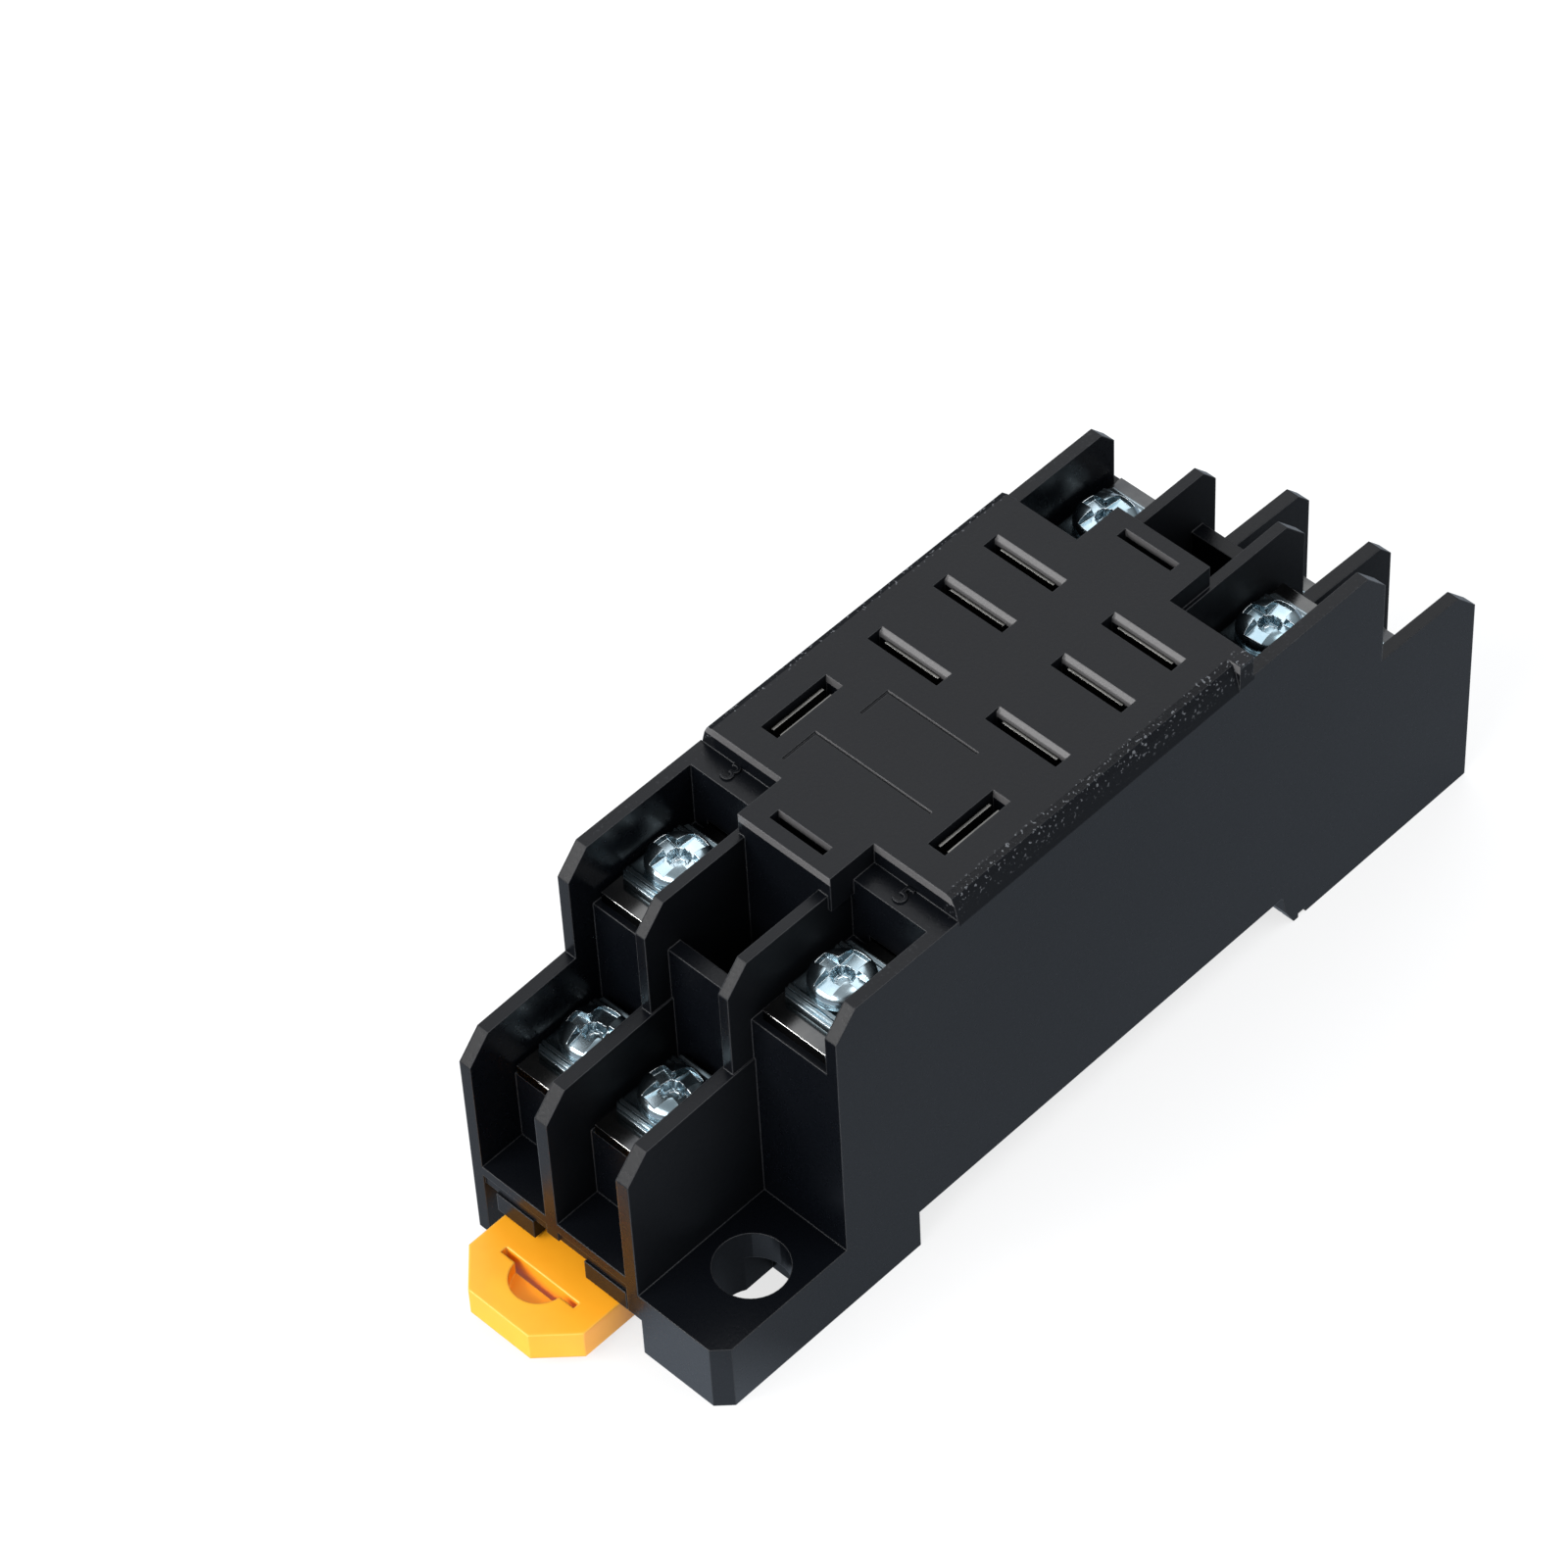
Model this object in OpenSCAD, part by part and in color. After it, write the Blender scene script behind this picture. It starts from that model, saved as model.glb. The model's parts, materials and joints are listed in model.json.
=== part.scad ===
// Relay socket for rail or panel mounting, with eight screw terminals on two tiers.
// Millimetres. +Z is up and the base stands at z = 0. The origin is midway between
// the two mounting holes. The rail clip's end points along -X.

/* [Body] */
// Length of the moulded body
body_l = 72; // [70:0.5:78]
// Width of the moulded body
body_w = 22.15; // [21.75:0.05:24]
// Thickness of the outer walls
outer_wall = 0.95; // [0.8:0.05:1.05]
// Thickness of the inner walls and floors
inner_wall = 1.1; // [0.9:0.05:1.2]
// Height of the relay deck above the base
deck_z = 30.3; // [29.8:0.1:34]
// Drop from the relay deck to the wall tops
deck_drop = 1.8; // [1.4:0.1:2.2]

/* [Relay deck] */
// Length of the raised deck
deck_l = 27.2; // [26.6:0.1:28]
// Width of the raised deck's flat top
deck_w = 20; // [19.4:0.1:20.4]
// Height of the steep band along the deck's sides
band_h = 2.25; // [2:0.05:2.4]
// Size of the rounding between the flat top and that band
band_round = 0.7; // [0.4:0.05:0.8]
// Length of each tongue that carries a hold-down slot
tongue_l = 3.9; // [3.6:0.1:4.4]
// Width of each tongue
tongue_w = 7.9; // [7.5:0.1:8.2]
// Length of the lower ledges beside the near tongue
ledge_l = 1.9; // [1.5:0.1:2.4]
// Distance from the deck's far edge to the far blade row
row_in = 3.7; // [3.5:0.05:3.8]
// Distance between the far and the middle blade row
row_gap_far = 4.7; // [4.5:0.05:4.9]
// Distance between the middle blade row and the one nearest the coil slots
row_gap_near = 6.05; // [5.9:0.05:6.2]
// Distance between the two columns of blade slots
column_pitch = 10.1; // [9.8:0.1:10.6]
// Length of a blade slot
blade_slot_l = 6; // [5.6:0.1:6.2]
// Width of a blade slot without its lead-in
blade_slot_w = 1.1; // [0.9:0.05:1.2]
// Width of the sloped lead-in beside a blade slot
lead_in = 0.3; // [0.2:0.05:0.5]
// Distance from the deck's near edge to the middle of the two coil slots
coil_in = 5.15; // [4.9:0.05:5.4]
// Distance between the two coil slots
coil_pitch = 14.3; // [14:0.1:14.8]
// Length of a coil slot
coil_slot_l = 5.9; // [5.5:0.1:6.1]
// Width of a coil slot
coil_slot_w = 1.45; // [1.2:0.05:1.6]
// Length of a hold-down slot
clip_slot_l = 4.6; // [4:0.1:5]
// Width of a hold-down slot
clip_slot_w = 0.85; // [0.7:0.05:1]

/* [Terminal tiers] */
// Length of each upper tier, from the deck's edge to the tier's face
tier_l = 11; // [10.8:0.1:11.4]
// Overhang of the partitions past that face
up_lip = 1.86; // [1.4:0.05:2.2]
// Length of the lower terminals' seat past that face
low_seat_l = 7.8; // [7.6:0.1:8.2]
// Height of the upper terminal plates' top
plate_up_z = 23.9; // [23.6:0.1:24.4]
// Height of the lower terminal plates' top
plate_low_z = 14.15; // [14:0.05:14.6]
// Height of the lower tier's wall tops
low_rim_z = 18.95; // [18.5:0.05:19.6]
// Rise of those tops towards the upper tier
low_rise = 0.3; // [0:0.05:0.8]
// Length of the wall-top chamfers
cham_x = 1.8; // [1.2:0.1:2.2]
// Height of the wall-top chamfers
cham_z = 2; // [1.4:0.1:2.4]
// Offset of the left partition from the centre line
fin_left = 3.85; // [3.75:0.05:3.95]
// Offset of the right partition from the centre line
fin_right = 3.3; // [3.2:0.05:3.4]
// Thickness of the partitions in the upper tier
fin_up_t = 0.8; // [0.7:0.05:0.95]
// Thickness of the partitions in the lower tier
fin_low_t = 1.05; // [0.9:0.05:1.2]
// Setback of the far end's lower partitions from the end of the body
far_fin_back = 0.7; // [0.4:0.1:1]
// Setback of the upper wall and partition at the far end's +Y side
far_left_back = 0.6; // [0.3:0.1:0.9]
// Height of the wire entry floor
floor_z = 6.95; // [6.8:0.05:7.4]
// Thickness of the wire entry floor
floor_t = 1.75; // [1.5:0.05:1.85]

/* [Mounting] */
// Distance between the mounting holes along the body
hole_dx = 59; // [58:0.1:60]
// Distance between the mounting holes across the body
hole_dy = 14.9; // [14.5:0.1:15.2]
// Diameter of the mounting holes
hole_d = 5.1; // [4.5:0.1:5.3]
// Height of the mounting flanges
flange_z = 5.9; // [5.6:0.1:6.6]
// Thickness of the mounting flanges
flange_t = 2.5; // [2:0.1:2.8]
// Chamfer on the flanges' outer corners
flange_cham = 1; // [0.6:0.1:1.6]
// Width of the rail notch
notch_w = 35.2; // [35.1:0.1:35.6]
// Depth of the rail notch
notch_z = 3.45; // [3.3:0.05:3.8]
// Offset of the notch towards the rail clip
notch_shift = 0.4; // [0.2:0.1:0.6]

/* [Base cover] */
// Thickness of the base cover
cover_t = 1.5; // [1.2:0.05:1.6]
// Clearance between the cover and the body
cover_gap = 0.1; // [0.05:0.01:0.15]
// Overlap of the fixed hook under the rail
hook_l = 1.3; // [1:0.1:1.6]
// Radius of a cover screw's boss
boss_r = 1.9; // [1.7:0.05:2]
// Radius of a cover screw's thread
cover_screw_r = 0.9; // [0.8:0.05:1]

/* [Rail clip] */
// Centre line of the rail clip across the body
clip_y = 3.35; // [3.2:0.05:3.5]
// Thickness of the rail clip
clip_t = 2.4; // [2.2:0.05:2.45]
// Height of the rail clip above the base
clip_z = 0.8; // [0.75:0.05:0.85]
// Width of the clip's head
clip_w = 10.4; // [10:0.1:10.8]
// Length of the head past the body
clip_out = 5.6; // [5:0.1:6.5]
// Chamfer on the head's corners
clip_cham = 2.5; // [2:0.1:3]
// Width of the clip's sliding body
clip_body_w = 7; // [6.6:0.1:7.2]
// Reach of the clip's nose under the rail
nose_l = 1.6; // [1.2:0.1:1.8]
// Travel of the clip when it is pulled out
clip_travel = 2.2; // [1.9:0.1:2.4]
// Clearance around the sliding clip
slide_gap = 0.15; // [0.1:0.01:0.2]

/* [Terminals] */
// Thickness of the terminal plates
plate_t = 0.9; // [0.7:0.05:1]
// Clearance between the plates and the walls beside them
plate_gap = 0.2; // [0.15:0.05:0.4]
// Length of the terminal plates
plate_l = 7.2; // [6.8:0.1:7.4]
// Width of the strips that lead to the contacts
tail_w = 3.2; // [2.6:0.1:3.4]
// Distance from a plate's front edge to its screw
screw_inset = 4.4; // [4:0.1:4.6]
// Radius of a terminal screw's shank
shank_r = 1.5; // [1.3:0.05:1.6]
// Length of a terminal screw's shank
shank_l = 7.4; // [6.5:0.1:7.5]
// Radius of a terminal screw's head
head_r = 2.25; // [2.1:0.05:2.5]
// Height of a terminal screw's head
head_h = 1.6; // [1.5:0.1:2]
// Running clearance between a shank and its tapped bore
run_gap = 0.05; // [0.02:0.01:0.08]
// Length of the clamp washers
washer_l = 6; // [5.4:0.1:6.2]
// Thickness of the clamp washers
washer_t = 0.6; // [0.5:0.05:0.8]
// Width of the driver slots in the screw heads
slot_w = 0.85; // [0.6:0.05:1]
// Depth of those slots
slot_depth = 0.7; // [0.5:0.05:0.8]
// Depth of the cross recess in the screw heads
cross_depth = 1.1; // [0.9:0.05:1.2]

/* [Hidden] */
$fn = 48;
eps = 0.02;
COUNT = 8;

black = [0.07, 0.07, 0.08];
orange = [0.96, 0.62, 0.12];
zinc = [0.78, 0.82, 0.86];
brass = [0.80, 0.66, 0.36];

half_l = body_l / 2;
half_w = body_w / 2;
in_y = half_w - outer_wall;
rim_z = deck_z - deck_drop;
band_z = deck_z - band_h;
deck_half = deck_l / 2;
up_face = deck_half + tier_l;
row_far = deck_half - row_in;
row_mid = row_far - row_gap_far;
row_near = row_mid - row_gap_near;
coil_x = coil_in - deck_half;
tongue_end = deck_half + tongue_l;
pocket_near = deck_half + ledge_l;
pocket_far = deck_half;
up_end = up_face + up_lip;
low_front = up_face + low_seat_l;
up_front = up_face - 0.5;
screw_up = up_front - screw_inset;
screw_low = low_front - screw_inset;
seat_up_z = plate_up_z - plate_t;
seat_low_z = plate_low_z - plate_t;
seat_t = 1.4;
rim_t = 1.3;
cover_top = notch_z + cover_t;
inner_z = cover_top + 0.05;
sill_z = floor_z - floor_t;
notch_near = -notch_w / 2 - notch_shift;
notch_far = notch_w / 2 - notch_shift;

// Lane centres, for the end that points along -X
lane_left_up = (fin_left + fin_up_t / 2 + in_y) / 2;
lane_right_up = -(fin_right + fin_up_t / 2 + in_y) / 2;
lane_left_low = (fin_left + fin_low_t / 2 + in_y) / 2;
lane_mid_low = (fin_left - fin_right) / 2;
narrow_lane = in_y - fin_left - fin_low_t / 2;
plate_w = narrow_lane - 2 * plate_gap;
washer_w = plate_w - 0.2;

// Contacts inside the body
blade_rows = [row_near, row_mid, row_far];
foot_z = plate_low_z + 3;
tip_drop = 0.55;
contact_h = deck_z - tip_drop - foot_z - plate_t;
leaf_t = 0.4;
leaf_w = 4.6;
leaf_out = 1.15;
blade_gap = 0.28;
tip_h = deck_drop - tip_drop + 0.1;
tip_out = blade_slot_w / 2 - 0.05;
cell_gap = 0.3;
slot_shift = -lead_in / 2;
leg_x = -pocket_far + inner_wall + plate_t + 0.15;

// Each terminal: end it sits at (0 near, 180 far), upper tier or not, lane centre,
// then its contact's place seen from that end, and whether the blade lies along X
TERMINALS = [
    [0, true, lane_left_up, [coil_x, coil_pitch / 2], true],
    [0, true, lane_right_up, [coil_x, -coil_pitch / 2], true],
    [0, false, lane_left_low, [blade_rows[0] + slot_shift, column_pitch / 2], false],
    [0, false, lane_mid_low, [blade_rows[0] + slot_shift, -column_pitch / 2], false],
    [180, true, lane_left_up, [-blade_rows[2] - slot_shift, column_pitch / 2], false],
    [180, true, lane_right_up, [-blade_rows[2] - slot_shift, -column_pitch / 2], false],
    [180, false, lane_left_low, [-blade_rows[1] - slot_shift, column_pitch / 2], false],
    [180, false, lane_mid_low, [-blade_rows[1] - slot_shift, -column_pitch / 2], false]
];

function end_of(t) = TERMINALS[t - 1][0];
function is_up(t) = TERMINALS[t - 1][1];
function lane_of(t) = TERMINALS[t - 1][2];
function spot_of(t) = TERMINALS[t - 1][3];
function along_x(t) = TERMINALS[t - 1][4];
function screw_x(t) = is_up(t) ? -screw_up : -screw_low;
function plate_z(t) = is_up(t) ? plate_up_z : plate_low_z;
function mirrored(points) = concat(
    points,
    [for (i = [len(points) - 1:-1:0]) [-points[i][0], points[i][1]]]
);

// Box between two opposite corners
module box(low, high) {
    translate(low) cube(high - low);
}

// Outline in X and Z, carried across from one Y to another
module side_slab(y0, y1) {
    translate([0, y1, 0]) rotate([90, 0, 0]) linear_extrude(y1 - y0) children();
}

// Outline in Y and Z, carried along from one X to another
module end_slab(x0, x1) {
    translate([x0, 0, 0]) rotate([90, 0, 90]) linear_extrude(x1 - x0) children();
}

module both_ends() {
    children();
    rotate([0, 0, 180]) children();
}

// Long outer wall: both tiers at its own end, the upper tier alone at the other.
// There the part above the seat is set back, and its chamfer stays on one line.
module long_wall_outline(back) {
    polygon([
        [-half_l, 0],
        [-half_l, low_rim_z - cham_z],
        [-half_l + cham_x, low_rim_z],
        [-up_end, low_rim_z + low_rise],
        [-up_end, rim_z - cham_z],
        [-up_end + cham_x, rim_z],
        [-deck_half, rim_z],
        [-deck_half, band_z],
        [deck_half, band_z],
        [deck_half, rim_z],
        [up_face - cham_x, rim_z],
        [up_face - back, rim_z - cham_z * (1 - back / cham_x)],
        [up_face - back, seat_up_z],
        [up_face, seat_up_z],
        [up_face, 0]
    ]);
}

module upper_fin_outline(inner_x, back) {
    polygon([
        [-up_end + back, inner_z],
        [-up_end + back, rim_z - cham_z * (1 - back / cham_x)],
        [-up_end + cham_x, rim_z],
        [-inner_x, rim_z],
        [-inner_x, inner_z]
    ]);
}

// The chamfer stays on one line when the front is set back
module lower_fin_outline(back) {
    polygon([
        [-half_l + back, sill_z],
        [-half_l + back, low_rim_z - cham_z * (1 - back / cham_x)],
        [-half_l + cham_x, low_rim_z],
        [-up_end, low_rim_z + low_rise],
        [-up_face, low_rim_z + low_rise],
        [-up_face, sill_z]
    ]);
}

// Partitions between the lanes
module fins(pocket, back, up_back) {
    for (y = [fin_left, -fin_right]) {
        side_slab(y - fin_up_t / 2, y + fin_up_t / 2)
            upper_fin_outline(pocket - inner_wall, y < 0 ? up_back : 0);
        side_slab(y - fin_low_t / 2, y + fin_low_t / 2) lower_fin_outline(back);
    }
}

// Seats of the two upper terminals, with the open shaft between them
module upper_tier(pocket) {
    inner_x = -pocket + inner_wall;
    for (y = [[-in_y - eps, -fin_right], [fin_left, in_y + eps]]) {
        box([-up_face, y[0], seat_up_z - seat_t], [inner_x, y[1], seat_up_z]);
        box([-pocket, y[0], seat_up_z - seat_t], [inner_x, y[1], rim_z]);
    }
    box([-up_face, -half_w + eps, inner_z], [-up_face + inner_wall, half_w - eps, seat_up_z]);
    box([-up_face, -fin_right, inner_z], [-up_face + inner_wall, fin_left, plate_up_z]);
    box([-up_face, -fin_right, plate_low_z + 1],
        [-tongue_end + inner_wall, fin_left, plate_low_z + 1 + inner_wall]);
    box([-tongue_end, -fin_right, plate_low_z + 1], [-tongue_end + inner_wall, fin_left, rim_z]);
    box([-tongue_end, -tongue_w / 2, rim_z - rim_t], [-deck_half + 1, tongue_w / 2, deck_z]);
}

// Seats of the two lower terminals and the floor of their wire entries
sill_step = 0.15;
sill_band = 0.85;
module lower_tier() {
    low_y = -fin_right - fin_low_t / 2;
    box([-low_front, low_y, sill_z], [-low_front + inner_wall, half_w - eps, seat_low_z]);
    box([-low_front, low_y, seat_low_z - seat_t], [-up_face + inner_wall, half_w - eps, seat_low_z]);
    box([-half_l + sill_step, low_y, sill_z], [-low_front + inner_wall, half_w - eps, floor_z]);
    box([-half_l, low_y, floor_z - sill_band], [-low_front, half_w - eps, floor_z]);
}

// Flange with a mounting hole, hollow underneath
module flange() {
    inner_y = -flange_in;
    difference() {
        union() {
            linear_extrude(flange_z) polygon([
                [-half_l, inner_y],
                [-half_l, -half_w + flange_cham],
                [-half_l + flange_cham, -half_w],
                [-up_face, -half_w],
                [-up_face, inner_y]
            ]);
            box([-half_l, inner_y - 1, sill_z], [-up_face, -fin_right, flange_z]);
            box([-up_face - 0.5, -half_w + eps, inner_z], [-up_face + 0.5, inner_y, flange_z]);
        }
        box([-half_l + inner_wall, -half_w + outer_wall, -1],
            [-up_face - inner_wall, inner_y - 1.35, flange_z - flange_t]);
    }
}

// Bosses for the cover screws, against the outer walls
boss_x = -(pocket_near - 1);
boss_y = in_y - boss_r;
boss_top = plate_low_z - plate_t - 1.2;
module boss() {
    translate([boss_x, boss_y, inner_z]) cylinder(h = boss_top - inner_z, r = boss_r);
    box([boss_x - boss_r, boss_y, inner_z], [boss_x + boss_r, in_y + eps, boss_top]);
}

// Ribs between the contacts, hung from the deck
rib_t = 0.9;
rib_z = foot_z + plate_t + 2;
rib_rows = [
    blade_rows[0] - 2.35,
    (blade_rows[0] + blade_rows[1]) / 2,
    (blade_rows[1] + blade_rows[2]) / 2
];
module ribs() {
    box([-pocket_near + eps, -rib_t / 2, rib_z], [pocket_far - eps, rib_t / 2, rim_z - eps]);
    for (x = rib_rows)
        box([x - rib_t / 2, -in_y - eps, rib_z], [x + rib_t / 2, in_y + eps, rim_z - eps]);
}

// Raised deck with a steep band and a rounded edge along each side. Its far right
// corner is flush with the wall.
far_strip = 1.3;
module deck() {
    edge = deck_w / 2;
    box([-pocket_near, -in_y - eps, rim_z - rim_t], [pocket_far, in_y + eps, rim_z]);
    end_slab(-deck_half, deck_half) polygon(mirrored([
        [-half_w, band_z - eps],
        [-edge - band_round, deck_z - band_round],
        [-edge - band_round * 0.65, deck_z - band_round * 0.25],
        [-edge, deck_z]
    ]));
    box([deck_half - far_strip, -half_w, band_z - eps], [deck_half, -edge + eps, deck_z]);
}

// Slots for the relay's blades and the room below them for the contacts
module blade_slot(x, y) {
    straight = x + slot_shift;
    side_slab(y - blade_slot_l / 2, y + blade_slot_l / 2) polygon([
        [straight - blade_slot_w / 2, rim_z - rim_t - 1],
        [straight - blade_slot_w / 2, deck_z + 1],
        [straight + blade_slot_w / 2 + lead_in, deck_z + 1],
        [straight + blade_slot_w / 2 + lead_in, deck_z],
        [straight + blade_slot_w / 2, deck_z - lead_in],
        [straight + blade_slot_w / 2, rim_z - rim_t - 1]
    ]);
    room = leaf_out + cell_gap;
    box([straight - room, y - leaf_w / 2 - cell_gap, rim_z - rim_t - 1],
        [straight + room, y + leaf_w / 2 + cell_gap, rim_z]);
}

module coil_slot(y) {
    box([coil_x - coil_slot_l / 2, y - coil_slot_w / 2, rim_z - rim_t - 1],
        [coil_x + coil_slot_l / 2, y + coil_slot_w / 2, deck_z + 1]);
    room = leaf_out + cell_gap;
    box([coil_x - leaf_w / 2 - cell_gap, y - room, rim_z - rim_t - 1],
        [coil_x + leaf_w / 2 + cell_gap, y + room, rim_z]);
}

// Two L-shaped marking lines on the deck, each from its distance to the near edge
line_w = 0.22;
line_d = 0.15;
mark_far = [7.2, 9.75];
mark_near = [1.2, 4.25];
module marking(span, y0, y1) {
    x0 = span[0] - deck_half;
    x1 = span[1] - deck_half;
    box([x0, y1 - line_w, deck_z - line_d], [x1, y1, deck_z + 1]);
    box([x1 - line_w, y0, deck_z - line_d], [x1, y1, deck_z + 1]);
}

module terminal_cuts(t) {
    z = plate_z(t);
    x = screw_x(t);
    wall_x = is_up(t) ? (end_of(t) == 0 ? -pocket_near : -pocket_far) : -up_face;
    rotate([0, 0, end_of(t)]) {
        translate([x, lane_of(t), z - plate_t - seat_t - 1])
            cylinder(h = seat_t + 1.5, r = shank_r + 1);
        box([wall_x - 0.5, lane_of(t) - tail_w / 2 - 0.15, z - plate_t],
            [wall_x + inner_wall + 0.5, lane_of(t) + tail_w / 2 + 0.15, z + 0.15]);
    }
}

module notch_outline() {
    polygon([
        [notch_near, -1],
        [notch_near, notch_z],
        [notch_far - 0.2, notch_z],
        [notch_far, notch_z - 0.3],
        [notch_far + 0.3, 1.6],
        [notch_far + slope_l, 0],
        [notch_far + slope_l, -1]
    ]);
}

nick_x = notch_far + 1.6;
module nick_outline() {
    polygon([[nick_x, -1], [nick_x, 0.4], [nick_x + 0.7, 0.4], [nick_x + 0.9, -1]]);
}

module housing() {
    color(black) difference() {
        union() {
            side_slab(in_y, half_w) long_wall_outline(far_left_back);
            rotate([0, 0, 180]) side_slab(in_y, half_w) long_wall_outline(0);
            both_ends() {
                lower_tier();
                flange();
                boss();
            }
            fins(pocket_near, 0, 0);
            upper_tier(pocket_near);
            rotate([0, 0, 180]) fins(pocket_far, far_fin_back, far_left_back);
            rotate([0, 0, 180]) upper_tier(pocket_far);
            box([-half_l, -flange_in - 0.3, notch_z],
                [rail_start - 0.1, -fin_right + fin_low_t / 2, sill_z + eps]);
            deck();
            ribs();
        }
        side_slab(-half_w - 1, half_w + 1) notch_outline();
        side_slab(-half_w - 1, half_w + 1) nick_outline();
        for (x = blade_rows, y = [-column_pitch / 2, column_pitch / 2]) blade_slot(x, y);
        for (y = [-coil_pitch / 2, coil_pitch / 2]) coil_slot(y);
        both_ends() {
            translate([-hole_dx / 2, -hole_dy / 2, -1]) cylinder(h = flange_z + 2, d = hole_d);
            translate([boss_x, boss_y, inner_z - 1])
                cylinder(h = boss_top - inner_z, r = cover_screw_r + run_gap);
            box([-tongue_end + inner_wall, -clip_slot_l / 2, deck_z - 4],
                [-tongue_end + inner_wall + clip_slot_w, clip_slot_l / 2, deck_z + 1]);
        }
        for (t = [1:COUNT]) terminal_cuts(t);
        marking(mark_far, -3.7, 4.1);
        marking(mark_near, -4.9, 5.1);
    }
}

// Base cover: plate, clip guides at the near foot and fixed hook at the far foot
channel_r = clip_body_w / 2 + slide_gap;
clip_top = clip_z + clip_t;
flange_in = fin_right + fin_low_t / 2 + 0.12;
rail_start = -half_l + 2.8;
rail_z = 0.15;
rail_under_z = notch_z - 1.2;
lip_t = clip_z - slide_gap - rail_z;
lip_w = 1.2;
barb_w = 0.6;
barb_l = 1.2;
barb_x = rail_start + 3.7;
post_r = 1.3;
pocket_wall = 1.4;

module cover_outline() {
    y_in = in_y - cover_gap;
    y_flange = flange_in - cover_gap;
    face = up_face - cover_gap;
    polygon([
        [rail_start, -y_flange],
        [-face, -y_flange],
        [-face, -y_in],
        [half_l - cover_gap, -y_in],
        [half_l - cover_gap, y_flange],
        [face, y_flange],
        [face, y_in],
        [rail_start, y_in]
    ]);
}

module foot(x0, x1) {
    translate([0, 0, rail_z]) linear_extrude(notch_z - rail_z + eps) intersection() {
        cover_outline();
        translate([x0, -half_w]) square([x1 - x0, body_w]);
    }
}

// Blocks that guide the clip's head below the sill
guide_window = 4.6;
guide_reach = 5.65;
module guide_blocks() {
    low_y = -fin_right + fin_low_t / 2 + cover_gap;
    r = guide_window / 2;
    for (y = [[low_y, clip_y - r], [clip_y + r, clip_y + guide_reach]])
        box([-half_l, y[0], notch_z], [rail_start + 1, y[1], sill_z - 0.05]);
}

// Post that holds a terminal's strip up from below, where no screw boss is in the way
posts = [2, 3, 4, 6, 7, 8];
module post(t) {
    top = is_up(t) ? foot_z : seat_low_z;
    rotate([0, 0, end_of(t)]) translate([spot_of(t)[0], spot_of(t)[1], cover_top - eps])
        cylinder(h = top - cover_top + eps - 0.05, r = post_r);
}

// Room for the sliding clip, its barbs and the gap between the lips
module clip_room() {
    x1 = notch_near + 1;
    box([-half_l - 1, clip_y - channel_r, rail_z + lip_t], [x1, clip_y + channel_r, notch_z]);
    box([-half_l - 1, clip_y - channel_r + lip_w, -1],
        [x1, clip_y + channel_r - lip_w, rail_z + lip_t + eps]);
    barb_r = channel_r + barb_w + 0.1;
    box([barb_x - clip_travel - 0.2, clip_y - barb_r, rail_z + lip_t],
        [barb_x + barb_l + 0.2, clip_y + barb_r, notch_z]);
}

// The far foot slopes like the notch on both sides of its hook
slope_l = 1.15;
hook_w = 12;
module slope_outline() {
    polygon([
        [notch_far - 0.5, -1],
        [notch_far - 0.5, notch_z - 0.3],
        [notch_far, notch_z - 0.3],
        [notch_far + 0.3, 1.6],
        [notch_far + slope_l, 0],
        [notch_far + slope_l, -1]
    ]);
}

// Hollows that lighten the feet
module foot_pockets() {
    side = in_y - cover_gap - pocket_wall;
    inner = flange_in - cover_gap - pocket_wall;
    box([notch_far + slope_l + pocket_wall, -side, -1], [up_face - pocket_wall, side, notch_z]);
    box([up_face, -side, -1], [half_l - cover_gap - pocket_wall, inner, notch_z]);
    box([-up_face + pocket_wall, -side, -1],
        [notch_near - pocket_wall, clip_y - channel_r - barb_w - pocket_wall, notch_z]);
}

module cover_screw_room() {
    translate([0, 0, notch_z - eps])
        cylinder(h = cover_head_h + 0.15, r1 = cover_screw_r + cover_head_out + 0.15,
                 r2 = cover_screw_r + 0.1);
    translate([0, 0, notch_z - 1]) cylinder(h = cover_t + 2, r = cover_screw_r + 0.1);
}

module base_cover() {
    color(black) difference() {
        union() {
            translate([0, 0, notch_z]) linear_extrude(cover_t) cover_outline();
            foot(-half_l, notch_near);
            foot(notch_far, half_l);
            box([notch_far - hook_l, -hook_w / 2, rail_z],
                [notch_far + 1, hook_w / 2, rail_under_z]);
            guide_blocks();
            for (t = posts) post(t);
        }
        clip_room();
        foot_pockets();
        both_ends() translate([boss_x, boss_y, 0]) cover_screw_room();
        for (y = [[-half_w, -hook_w / 2], [hook_w / 2, half_w]])
            side_slab(y[0], y[1]) slope_outline();
    }
}

// Two countersunk screws that hold the cover to the bosses
cover_screw_l = 6;
cover_head_h = 1;
cover_head_out = 0.85;
cover_slot_l = 2.2;
cover_slot_w = 0.44;
module cover_screws() {
    color(zinc) both_ends() translate([boss_x, boss_y, notch_z + 0.05]) difference() {
        union() {
            cylinder(h = cover_head_h, r1 = cover_screw_r + cover_head_out, r2 = cover_screw_r);
            cylinder(h = cover_screw_l, r = cover_screw_r);
        }
        for (a = [0, 90]) rotate([0, 0, a])
            box([-cover_slot_l / 2, -cover_slot_w / 2, -1],
                [cover_slot_l / 2, cover_slot_w / 2, cover_head_h / 2]);
    }
}

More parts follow.
